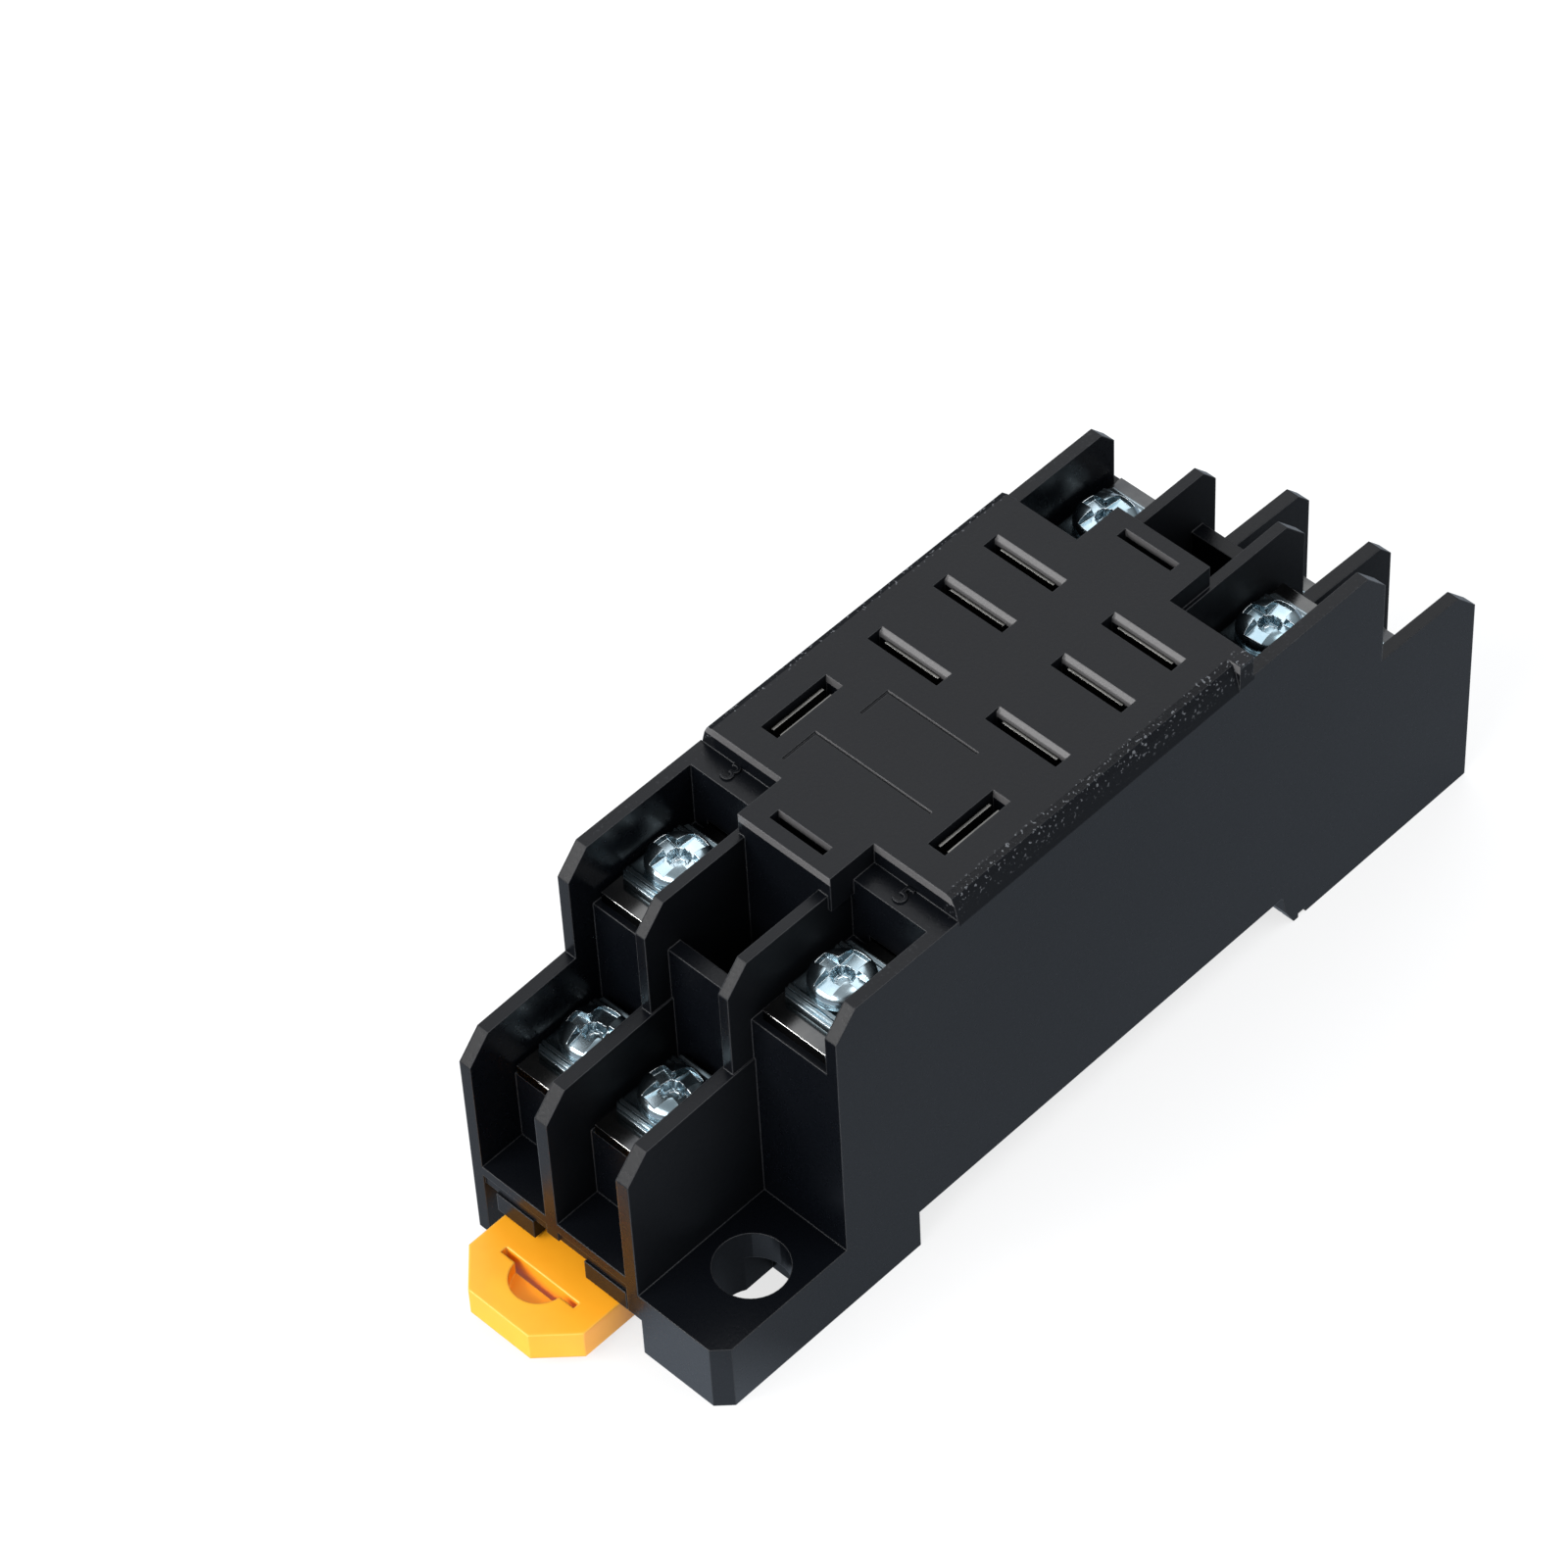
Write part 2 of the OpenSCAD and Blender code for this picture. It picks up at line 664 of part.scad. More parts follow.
// Rail clip: octagonal head, sliding body, two spring arms with barbs and the nose
spine_w = 2.6;
arm_t = 0.9;
arm_root = notch_near - 3.4;
shoulder_x = rail_start - 0.3;
module clip_plan() {
    r = clip_w / 2;
    head_x = -half_l - clip_out;
    polygon([
        [shoulder_x, clip_y - r],
        [head_x + clip_cham, clip_y - r],
        [head_x, clip_y - r + clip_cham],
        [head_x, clip_y + r - clip_cham],
        [head_x + clip_cham, clip_y + r],
        [shoulder_x, clip_y + r]
    ]);
    body_r = clip_body_w / 2;
    translate([shoulder_x - eps, clip_y - spine_w / 2])
        square([arm_root - shoulder_x + 2 * eps, spine_w]);
    translate([arm_root, clip_y - body_r]) square([notch_near - arm_root, clip_body_w]);
    for (s = [-1, 1]) {
        low = s > 0 ? clip_y + body_r - arm_t : clip_y - body_r;
        translate([barb_x, low]) square([arm_root - barb_x + eps, arm_t]);
        tip = s > 0 ? clip_y + body_r - eps : clip_y - body_r - barb_w + eps;
        translate([barb_x, tip]) square([barb_l, barb_w]);
    }
}

// Driver slot across the head and the half-round dip beside it
driver_out = 1.85;
driver_l = 6.6;
driver_w = 0.5;
dip_r = 2.05;
dip_depth = 1.1;
module driver_slot() {
    x = -half_l - driver_out;
    box([x - driver_w / 2, clip_y - driver_l / 2, clip_z - 1],
        [x + driver_w / 2, clip_y + driver_l / 2, clip_top + 1]);
    intersection() {
        translate([x, clip_y, clip_top - dip_depth]) cylinder(h = dip_depth + 1, r = dip_r);
        box([x - dip_r, clip_y - dip_r, clip_z], [x, clip_y + dip_r, clip_top + 1]);
    }
}

module rail_clip() {
    body_r = clip_body_w / 2;
    color(orange) difference() {
        union() {
            translate([0, 0, clip_z]) linear_extrude(clip_t) clip_plan();
            side_slab(clip_y - body_r, clip_y + body_r) polygon([
                [notch_near - eps, clip_z],
                [notch_near - eps, rail_under_z],
                [notch_near + nose_l, rail_under_z],
                [notch_near + nose_l, rail_under_z - 0.5],
                [notch_near + nose_l - 1, clip_z]
            ]);
        }
        driver_slot();
    }
}

// Terminal plate with its tapped collar and the strip that leads to the contact
collar_l = 1.6;
module upper_strip(t, x_out) {
    spot = spot_of(t);
    y = lane_of(t);
    reach = along_x(t) ? leaf_w / 2 : leaf_out;
    side = along_x(t) ? leaf_out : leaf_w / 2;
    low_y = min(y - tail_w / 2, spot[1] - side);
    high_y = max(y + tail_w / 2, spot[1] + side);
    box([x_out, y - tail_w / 2, seat_up_z], [leg_x, y + tail_w / 2, plate_up_z]);
    box([leg_x - plate_t, y - tail_w / 2, foot_z], [leg_x, y + tail_w / 2, plate_up_z]);
    box([leg_x - plate_t, low_y, foot_z], [spot[0] + reach, high_y, foot_z + plate_t]);
}

module lower_strip(t, x_out) {
    spot = spot_of(t);
    y = lane_of(t);
    reach = leaf_out + 0.25;
    side = leaf_w / 2;
    low_y = min(y - tail_w / 2, spot[1] - side);
    high_y = max(y + tail_w / 2, spot[1] + side);
    x0 = spot[0] - reach;
    x1 = spot[0] + reach;
    box([x_out, y - tail_w / 2, seat_low_z], [x1, y + tail_w / 2, plate_low_z]);
    box([x0, low_y, seat_low_z], [x1, high_y, plate_low_z]);
    box([x1 - plate_t, spot[1] - side, seat_low_z], [x1, spot[1] + side, foot_z + plate_t]);
    box([x0, spot[1] - side, foot_z], [x1, spot[1] + side, foot_z + plate_t]);
}

module terminal_plate(t) {
    x = screw_x(t);
    y = lane_of(t);
    z = plate_z(t);
    x0 = x - screw_inset;
    x1 = x0 + plate_l;
    color(brass) rotate([0, 0, end_of(t)]) difference() {
        union() {
            box([x0, y - plate_w / 2, z - plate_t], [x1, y + plate_w / 2, z]);
            translate([x, y, z - plate_t - collar_l]) cylinder(h = collar_l + eps, r = shank_r + 0.7);
            if (is_up(t)) upper_strip(t, x1 - eps);
            else lower_strip(t, x1 - eps);
        }
        translate([x, y, z - plate_t - collar_l - 1])
            cylinder(h = plate_t + collar_l + 2, r = shank_r + run_gap);
    }
}

// Contact with two leaves that grip the relay's blade. Their tips stand in the slot.
module contact_spring(t) {
    spot = spot_of(t);
    h = contact_h;
    color(brass) rotate([0, 0, end_of(t)])
        translate([spot[0], spot[1], foot_z + plate_t])
        rotate([0, 0, along_x(t) ? 90 : 0])
        side_slab(-leaf_w / 2, leaf_w / 2) polygon(mirrored([
            [-leaf_out, 0],
            [-leaf_out, h * 0.35],
            [-leaf_t - blade_gap, h * 0.8],
            [-tip_out, h - tip_h],
            [-tip_out, h],
            [-blade_gap, h],
            [-blade_gap, h * 0.8],
            [-leaf_out + leaf_t, h * 0.35],
            [-leaf_out + leaf_t, leaf_t + 0.1]
        ]));
}

// Washer that clamps the wire
seat_gap = 0.02;
washer_cham = 0.5;
module clamp_washer(t) {
    color(zinc) rotate([0, 0, end_of(t)])
        translate([screw_x(t), lane_of(t), plate_z(t) + seat_gap]) difference() {
            linear_extrude(washer_t) polygon(mirrored([
                [-washer_l / 2 + washer_cham, -washer_w / 2],
                [-washer_l / 2, -washer_w / 2 + washer_cham],
                [-washer_l / 2, washer_w / 2 - washer_cham],
                [-washer_l / 2 + washer_cham, washer_w / 2]
            ]));
            translate([0, 0, -1]) cylinder(h = washer_t + 2, r = shank_r + 0.3);
        }
}

// Pan-head screw with a driver slot and a cross recess
slot_rim = 0.4;
cross_l = 2.6;
module terminal_screw(t) {
    color(zinc) rotate([0, 0, end_of(t)])
        translate([screw_x(t), lane_of(t), plate_z(t) + washer_t + 2 * seat_gap]) difference() {
            union() {
                rotate_extrude() polygon([
                    [0, 0],
                    [head_r - 0.1, 0],
                    [head_r, 0.15],
                    [head_r, head_h * 0.5],
                    [head_r * 0.95, head_h * 0.74],
                    [head_r * 0.8, head_h * 0.9],
                    [head_r * 0.45, head_h * 0.98],
                    [0, head_h]
                ]);
                translate([0, 0, -shank_l]) cylinder(h = shank_l + eps, r = shank_r);
            }
            slot_l = 2 * head_r - 2 * slot_rim;
            box([-slot_l / 2, -slot_w / 2, head_h - slot_depth],
                [slot_l / 2, slot_w / 2, head_h + 1]);
            for (a = [0, 90]) rotate([0, 0, a])
                box([-cross_l / 2, -slot_w / 2, head_h - cross_depth],
                    [cross_l / 2, slot_w / 2, head_h + 1]);
        }
}

housing();
base_cover();
rail_clip();
cover_screws();
for (i = [1:COUNT]) {
    terminal_plate(i);
    contact_spring(i);
    clamp_washer(i);
    terminal_screw(i);
}
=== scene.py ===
import json
import math
import bmesh
import bpy
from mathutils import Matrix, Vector


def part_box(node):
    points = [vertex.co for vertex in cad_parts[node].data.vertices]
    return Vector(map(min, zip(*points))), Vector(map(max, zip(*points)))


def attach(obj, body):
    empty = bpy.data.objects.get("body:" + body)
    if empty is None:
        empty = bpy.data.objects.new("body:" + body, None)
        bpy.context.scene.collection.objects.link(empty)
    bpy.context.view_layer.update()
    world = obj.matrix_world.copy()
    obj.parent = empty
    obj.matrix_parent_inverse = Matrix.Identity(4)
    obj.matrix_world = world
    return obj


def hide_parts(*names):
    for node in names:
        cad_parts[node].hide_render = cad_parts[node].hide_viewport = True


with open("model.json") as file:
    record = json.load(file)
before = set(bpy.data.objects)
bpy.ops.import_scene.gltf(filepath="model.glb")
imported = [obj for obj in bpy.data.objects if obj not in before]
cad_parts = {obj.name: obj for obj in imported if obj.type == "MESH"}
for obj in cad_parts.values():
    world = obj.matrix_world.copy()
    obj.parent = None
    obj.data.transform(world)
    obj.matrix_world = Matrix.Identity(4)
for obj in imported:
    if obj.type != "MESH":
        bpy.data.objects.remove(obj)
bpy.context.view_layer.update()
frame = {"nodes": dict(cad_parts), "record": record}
mm = 0.001
terminals = range(1, 9)
scene = bpy.context.scene
scene.view_settings.view_transform = "Standard"

# Camera, at the photograph's angle
cameraView = {
    "place": (-0.189442, -0.182691, 0.324712),
    "turn": (40.9486, 2.2951, -45.9680),  # degrees about X, Y and Z
    "lens": 144.6,
    "sensor": 36.0,
    "nearest": 0.01,
}


def addCamera(view):
    data = bpy.data.cameras.new("photoCamera")
    data.sensor_width = view["sensor"]
    data.lens = view["lens"]
    data.clip_start = view["nearest"]
    camera = bpy.data.objects.new("photoCamera", data)
    camera.location = view["place"]
    camera.rotation_euler = [math.radians(a) for a in view["turn"]]
    scene.collection.objects.link(camera)
    scene.camera = camera


# Lamps, all aimed at the middle of the socket. The overhead one is what the deck's top mirrors.
lampAim = (0, 0, 0.015)
lamps = {
    "keyLamp": {"place": (-0.82, 0.53, 0.52), "size": 0.5, "power": 5.8, "colour": (1.0, 0.99, 0.98)},
    "middleLamp": {"place": (-0.92, 0.20, 0.60), "size": 0.5, "power": 4.6, "colour": (1.0, 1.0, 1.0)},
    "overheadLamp": {"place": (0.45, 0.48, 0.76), "size": 0.9, "power": 3.6, "colour": (0.97, 0.98, 1.0)},
    "frontLamp": {"place": (-0.95, -0.15, 0.65), "size": 0.5, "power": 4.6, "colour": (1.0, 1.0, 1.0)},
    "rimLamp": {"place": (0.27, -0.37, 0.88), "size": 0.6, "power": 2.4, "colour": (1.0, 1.0, 1.0)},
    "sideLamp": {"place": (0.15, -0.80, 0.35), "size": 0.6, "power": 1.1, "colour": (0.85, 0.92, 1.0)},
}


def addLamp(name, look):
    data = bpy.data.lights.new(name, "AREA")
    data.shape = "DISK"
    data.size = look["size"]
    data.energy = look["power"]
    data.color = look["colour"]
    lamp = bpy.data.objects.new(name, data)
    lamp.location = look["place"]
    aim = Vector(lampAim) - Vector(look["place"])
    lamp.rotation_euler = aim.to_track_quat("-Z", "Y").to_euler()
    scene.collection.objects.link(lamp)


def addNode(tree, kind, place=(0, 0), **values):
    node = tree.nodes.new(kind)
    node.location = place
    for key, value in values.items():
        if hasattr(node, key):
            setattr(node, key, value)
        else:
            node.inputs[key.replace("_", " ")].default_value = value
    return node


def feed(tree, socket, value):
    # A socket takes either another node's output or a plain value
    if isinstance(value, bpy.types.NodeSocket):
        tree.links.new(value, socket)
    else:
        socket.default_value = value


def computed(tree, place, operation, *values):
    node = addNode(tree, "ShaderNodeMath", place, operation=operation)
    for socket, value in zip(node.inputs, values):
        feed(tree, socket, value)
    return node.outputs[0]


def ranged(tree, place, value, source=(0, 1), target=(0, 1)):
    # Maps a value from one range to another
    node = addNode(tree, "ShaderNodeMapRange", place)
    sockets = ("Value", "From Min", "From Max", "To Min", "To Max")
    for name, part in zip(sockets, (value, *source, *target)):
        feed(tree, node.inputs[name], part)
    return node.outputs[0]


def mixColour(tree, place, factor, first, second):
    mix = addNode(tree, "ShaderNodeMix", place, data_type="RGBA")
    feed(tree, mix.inputs["Factor"], factor)
    for name, value in (("A", first), ("B", second)):
        feed(tree, mix.inputs[name], (*value, 1) if isinstance(value, tuple) else value)
    return mix.outputs["Result"]


# White surroundings for what is seen, dimmer ones for what lights the object and for what it
# mirrors, which darken towards the horizon (rise is the height of the direction looked in)
roomLook = {
    "seen": 1.0, "light": 0.62, "mirrored": 0.50, "mirroredLow": 0.16, "rise": (0.10, 0.50),
    "tint": (0.95, 0.975, 1.0),
}


def buildRoom(look):
    world = bpy.data.worlds.new("studio")
    scene.world = world
    world.use_nodes = True
    tree = world.node_tree
    tree.nodes.clear()
    link = tree.links.new
    path = addNode(tree, "ShaderNodeLightPath", (-1000, 0))
    way = addNode(tree, "ShaderNodeTexCoord", (-1000, -400))
    parts = addNode(tree, "ShaderNodeSeparateXYZ", (-800, -400))
    link(way.outputs["Generated"], parts.inputs["Vector"])
    mirrored = ranged(tree, (-600, -400), parts.outputs["Z"], look["rise"],
                      (look["mirroredLow"], look["mirrored"]))
    shiny = computed(tree, (-600, -100), "MAXIMUM", path.outputs["Is Glossy Ray"],
                     path.outputs["Is Transmission Ray"])
    unseen = ranged(tree, (-400, -100), shiny, target=(look["light"], mirrored))
    strength = ranged(tree, (-200, -100), path.outputs["Is Camera Ray"], target=(unseen, look["seen"]))
    tint = mixColour(tree, (-200, 200), path.outputs["Is Camera Ray"], look["tint"], (1, 1, 1))
    back = addNode(tree, "ShaderNodeBackground", (0, 0))
    out = addNode(tree, "ShaderNodeOutputWorld", (200, 0))
    link(tint, back.inputs["Color"])
    link(strength, back.inputs["Strength"])
    link(back.outputs[0], out.inputs["Surface"])


addCamera(cameraView)
for lampName, lampLook in lamps.items():
    addLamp(lampName, lampLook)
buildRoom(roomLook)
print("camera and light done")

# Painted highlights on edges. The painted highlight grows from the first to the second cosine between
# softened and true normal.
edgeLook = {"samples": 8, "mask": (0.995, 0.85)}


def newMaterial(name):
    material = bpy.data.materials.new(name)
    material.use_nodes = True
    tree = material.node_tree
    return material, tree, tree.nodes["Principled BSDF"]


def mottled(tree, place, factor, look):
    ramp = addNode(tree, "ShaderNodeValToRGB", place)
    tree.links.new(factor, ramp.inputs["Fac"])
    colours = (look["dark"], look["light"])
    for element, position, colour in zip(ramp.color_ramp.elements, look["spread"], colours):
        element.position = position
        element.color = (*colour, 1)
    return ramp.outputs["Color"]


def roundedEdges(tree, look, place):
    # Normals softened over the edges, and a mask that is 1 on them
    edge = addNode(tree, "ShaderNodeBevel", place, samples=edgeLook["samples"], Radius=look["edge"])
    flat = addNode(tree, "ShaderNodeNewGeometry", (place[0], place[1] - 200))
    same = addNode(tree, "ShaderNodeVectorMath", (place[0] + 200, place[1] - 100), operation="DOT_PRODUCT")
    tree.links.new(edge.outputs["Normal"], same.inputs[0])
    tree.links.new(flat.outputs["True Normal"], same.inputs[1])
    mask = ranged(tree, (place[0] + 400, place[1] - 100), same.outputs["Value"], edgeLook["mask"])
    return edge.outputs["Normal"], mask


def addBump(tree, place, look, strength, height, normal, shader):
    bump = addNode(tree, "ShaderNodeBump", place, Distance=look["depth"])
    feed(tree, bump.inputs["Strength"], strength)
    tree.links.new(height, bump.inputs["Height"])
    tree.links.new(normal, bump.inputs["Normal"])
    tree.links.new(bump.outputs["Normal"], shader.inputs["Normal"])


# Black moulding: fine grain on the faces that look up, smoother sides, painted highlights on the edges,
# painted bright glints along the dull steep bands beside the deck, dull walls in the bays, and a painted
# highlight on the slot lead-ins.
# Places are metres in the object's frame, and facing is a part of the face's normal.
blackLook = {
    "dark": (0.0020, 0.0026, 0.0040), "light": (0.0033, 0.0040, 0.0055), "spread": (0.35, 0.70),
    "edgeHighlight": (0.042, 0.043, 0.046), "edge": 0.00013, "patch": 55.0, "grain": 3800.0,
    "rough": (0.24, 0.34), "ior": 1.25, "depth": 0.00003, "bump": 0.28, "sideBump": 0.084,
    "upFacing": (0.4, 0.9),
    "glint": (0.11, 0.115, 0.125), "glintScale": 4200.0, "glintFrom": (0.63, 0.70),
    "glintHeight": (0.0284, 0.0298),
    "bandFrom": (0.0098, 0.0100), "bandHeight": (0.0281, 0.0300), "bandReach": 0.0137, "bandRough": 0.30,
    "bayHalf": 0.0101, "bayFacing": 0.7, "bayRough": 0.3,
    "leadInHighlight": (0.095, 0.093, 0.095), "leadInFrom": 0.0296, "leadInFacing": -0.5,
}


def blackPlastic(look):
    material, tree, shader = newMaterial("blackPlastic")
    link = tree.links.new
    coords = addNode(tree, "ShaderNodeTexCoord", (-1800, 0))
    patches = addNode(tree, "ShaderNodeTexNoise", (-1500, 400), Scale=look["patch"], Detail=3.0)
    grain = addNode(tree, "ShaderNodeTexNoise", (-1500, 150), Scale=look["grain"], Detail=2.0)
    glints = addNode(tree, "ShaderNodeTexNoise", (-1500, -100), Scale=look["glintScale"], Detail=1.0)
    for texture in (patches, grain, glints):
        link(coords.outputs["Object"], texture.inputs["Vector"])
    spot = addNode(tree, "ShaderNodeSeparateXYZ", (-1500, -400))
    link(coords.outputs["Object"], spot.inputs["Vector"])
    facing = addNode(tree, "ShaderNodeSeparateXYZ", (-1500, -700))
    link(coords.outputs["Normal"], facing.inputs["Vector"])
    normal, litEdgeMask = roundedEdges(tree, look, (-1500, -900))

    # Painted bright glints, on the bands' upper parts
    across = computed(tree, (-1300, -350), "ABSOLUTE", spot.outputs["Y"])
    outside = ranged(tree, (-1100, -350), across, look["bandFrom"])
    above = ranged(tree, (-1100, -600), spot.outputs["Z"], look["glintHeight"])
    glintArea = computed(tree, (-900, -450), "MULTIPLY", outside, above)
    bright = ranged(tree, (-1100, -100), glints.outputs["Fac"], look["glintFrom"])
    glintMask = computed(tree, (-700, -250), "MULTIPLY", bright, glintArea)

    # Painted highlight on the slopes into the blade slots that face the clip's end
    isSlope = computed(tree, (-1100, -1500), "LESS_THAN", facing.outputs["X"], look["leadInFacing"])
    isTop = computed(tree, (-1100, -1700), "GREATER_THAN", spot.outputs["Z"], look["leadInFrom"])
    litSlopeMask = computed(tree, (-900, -1550), "MULTIPLY", isSlope, isTop)

    plain = mottled(tree, (-1200, 400), patches.outputs["Fac"], look)
    # Painted highlight: the edges are painted lighter
    edgeHighlight = mixColour(tree, (-700, 300), litEdgeMask, plain, look["edgeHighlight"])
    glinted = mixColour(tree, (-450, 300), glintMask, edgeHighlight, look["glint"])
    # Painted highlight: the lead-in slopes are painted paler
    leadInLit = mixColour(tree, (-250, 300), litSlopeMask, glinted, look["leadInHighlight"])
    link(leadInLit, shader.inputs["Base Color"])

    # Side walls of the bays, and the bands
    sideways = computed(tree, (-1300, -1100), "ABSOLUTE", facing.outputs["Y"])
    isWall = computed(tree, (-1100, -1100), "GREATER_THAN", sideways, look["bayFacing"])
    isInner = computed(tree, (-1100, -1300), "LESS_THAN", across, look["bayHalf"])
    inBay = computed(tree, (-900, -1150), "MULTIPLY", isWall, isInner)
    low, high = look["bandHeight"]
    along = computed(tree, (-1300, -2300), "ABSOLUTE", spot.outputs["X"])
    aboveFoot = computed(tree, (-1100, -1900), "GREATER_THAN", spot.outputs["Z"], low)
    belowTop = computed(tree, (-1100, -2100), "LESS_THAN", spot.outputs["Z"], high)
    besideDeck = computed(tree, (-1100, -2300), "LESS_THAN", along, look["bandReach"])
    onBand = outside
    for step, test in enumerate((aboveFoot, belowTop, besideDeck)):
        onBand = computed(tree, (-900 + 150 * step, -1900), "MULTIPLY", onBand, test)
    rough = ranged(tree, (-1200, 150), grain.outputs["Fac"], target=look["rough"])
    rough = computed(tree, (-700, 50), "MULTIPLY_ADD", inBay, look["bayRough"], rough)
    rough = computed(tree, (-500, 50), "MULTIPLY_ADD", onBand, look["bandRough"], rough)
    link(rough, shader.inputs["Roughness"])

    # The grain is stronger on what looks up
    strength = ranged(tree, (-1300, -700), facing.outputs["Z"], look["upFacing"],
                      (look["sideBump"], look["bump"]))
    addBump(tree, (-300, -300), look, strength, grain.outputs["Fac"], normal, shader)
    shader.inputs["IOR"].default_value = look["ior"]
    return material


# Orange moulding of the rail clip, bright zinc plating, and the metal strips and contacts, whose colour is
# darkened as painted shade
orangeLook = {
    "name": "orangePlastic", "dark": (0.95, 0.35, 0.010), "light": (1.0, 0.44, 0.016),
    "spread": (0.35, 0.68), "edgeHighlight": (1.0, 0.52, 0.08), "edge": 0.00022, "patch": 120.0, "grain": 2600.0,
    "rough": (0.34, 0.46), "bump": 0.12, "depth": 0.00002, "metallic": 0.0,
}
zincLook = {
    "name": "zincPlate", "dark": (0.28, 0.38, 0.43), "light": (0.48, 0.58, 0.63),
    "spread": (0.35, 0.68), "edgeHighlight": (0.90, 0.93, 0.95), "edge": 0.00005, "patch": 420.0, "grain": 5200.0,
    "rough": (0.17, 0.24), "bump": 0.03, "depth": 0.00001, "metallic": 1.0,
}
# Painted shade: the strips' colour is darkened near to black, as they sit in the dark bays
shadedStripLook = {
    "name": "stripMetal", "dark": (0.045, 0.047, 0.050), "light": (0.10, 0.10, 0.098),
    "spread": (0.35, 0.68), "edgeHighlight": (0.92, 0.92, 0.90), "edge": 0.00007, "patch": 260.0, "grain": 4600.0,
    "rough": (0.10, 0.20), "bump": 0.06, "depth": 0.00001, "metallic": 1.0,
}
# Painted shade: the contacts' colour is darkened, as they sit in shade
contactLook = {
    "name": "contactMetal", "dark": (0.07, 0.07, 0.066), "light": (0.16, 0.155, 0.145),
    "spread": (0.35, 0.68), "edgeHighlight": (0.24, 0.24, 0.23), "edge": 0.00007, "patch": 260.0, "grain": 4600.0,
    "rough": (0.22, 0.32), "bump": 0.06, "depth": 0.00001, "metallic": 1.0,
}


def grainedMaterial(look):
    material, tree, shader = newMaterial(look["name"])
    link = tree.links.new
    coords = addNode(tree, "ShaderNodeTexCoord", (-1500, 0))
    patches = addNode(tree, "ShaderNodeTexNoise", (-1200, 300), Scale=look["patch"], Detail=4.0)
    grain = addNode(tree, "ShaderNodeTexNoise", (-1200, 0), Scale=look["grain"], Detail=2.0)
    for texture in (patches, grain):
        link(coords.outputs["Object"], texture.inputs["Vector"])
    normal, litEdgeMask = roundedEdges(tree, look, (-1200, -400))
    plain = mottled(tree, (-900, 300), patches.outputs["Fac"], look)
    # Painted highlight: the edges are painted lighter
    link(mixColour(tree, (-400, 300), litEdgeMask, plain, look["edgeHighlight"]), shader.inputs["Base Color"])
    rough = ranged(tree, (-900, 0), patches.outputs["Fac"], target=look["rough"])
    link(rough, shader.inputs["Roughness"])
    addBump(tree, (-300, -200), look, look["bump"], grain.outputs["Fac"], normal, shader)
    shader.inputs["Metallic"].default_value = look["metallic"]
    return material


finishes = {
    "black_plastic": blackPlastic(blackLook),
    "orange_plastic": grainedMaterial(orangeLook),
    "zinc_steel": grainedMaterial(zincLook),
    "brass": grainedMaterial(shadedStripLook),
}
contactFinish = grainedMaterial(contactLook)  # the contacts sit in shade and are duller than the strips
for part in frame["record"]["subparts"]:
    cadNode = frame["nodes"][part["node"]]
    isContact = part["node"].startswith("contact_spring")
    cadNode.data.materials.clear()
    cadNode.data.materials.append(contactFinish if isContact else finishes[part["material_slot"]])
print("materials done")


def edit(piece):
    bpy.ops.object.select_all(action="DESELECT")
    piece.select_set(True)
    bpy.context.view_layer.objects.active = piece
    bpy.ops.object.mode_set(mode="EDIT")


def leave():
    bpy.ops.object.mode_set(mode="OBJECT")


def pick(piece, kind, test):
    # Selects the vertices, edges or faces of the edited piece whose middle passes the test
    bpy.ops.mesh.select_all(action="DESELECT")
    bpy.ops.mesh.select_mode(type={"verts": "VERT", "edges": "EDGE", "faces": "FACE"}[kind])
    mesh = bmesh.from_edit_mesh(piece.data)
    for item in getattr(mesh, kind):
        corners = [item.co] if kind == "verts" else [v.co for v in item.verts]
        if test(sum(corners, Vector()) / len(corners), corners):
            item.select_set(True)
    mesh.select_flush_mode()
    bmesh.update_edit_mesh(piece.data)


def turnedPiece(name, rings, segments):
    # A disc is pulled up ring by ring, as on a lathe. Each ring is radius and height.
    bpy.ops.object.select_all(action="DESELECT")
    radius, height = rings[0]
    bpy.ops.mesh.primitive_circle_add(vertices=segments, radius=radius, fill_type="NGON",
                                      location=(0, 0, height))
    piece = bpy.context.object
    piece.name = name
    bpy.ops.object.transform_apply(location=True)
    edit(piece)
    bpy.ops.mesh.select_all(action="SELECT")
    for nextRadius, nextHeight in rings[1:]:
        bpy.ops.mesh.extrude_region_move(TRANSFORM_OT_translate={"value": (0, 0, nextHeight - height)})
        grow = nextRadius / radius
        bpy.ops.transform.resize(value=(grow, grow, 1), center_override=(0, 0, nextHeight))
        radius, height = nextRadius, nextHeight
    bpy.ops.mesh.select_all(action="SELECT")
    bpy.ops.mesh.normals_make_consistent(inside=False)
    leave()
    return piece


def block(name, middle, size):
    bpy.ops.object.select_all(action="DESELECT")
    bpy.ops.mesh.primitive_cube_add(size=1, location=middle)
    piece = bpy.context.object
    piece.name = name
    piece.scale = size
    bpy.ops.object.transform_apply(location=True, rotation=True, scale=True)
    return piece


def cut(piece, tool):
    bpy.context.view_layer.objects.active = piece
    modifier = piece.modifiers.new("cut", "BOOLEAN")
    modifier.operation = "DIFFERENCE"
    modifier.solver = "EXACT"
    modifier.object = tool
    bpy.ops.object.modifier_apply(modifier=modifier.name)
    bpy.data.objects.remove(tool)


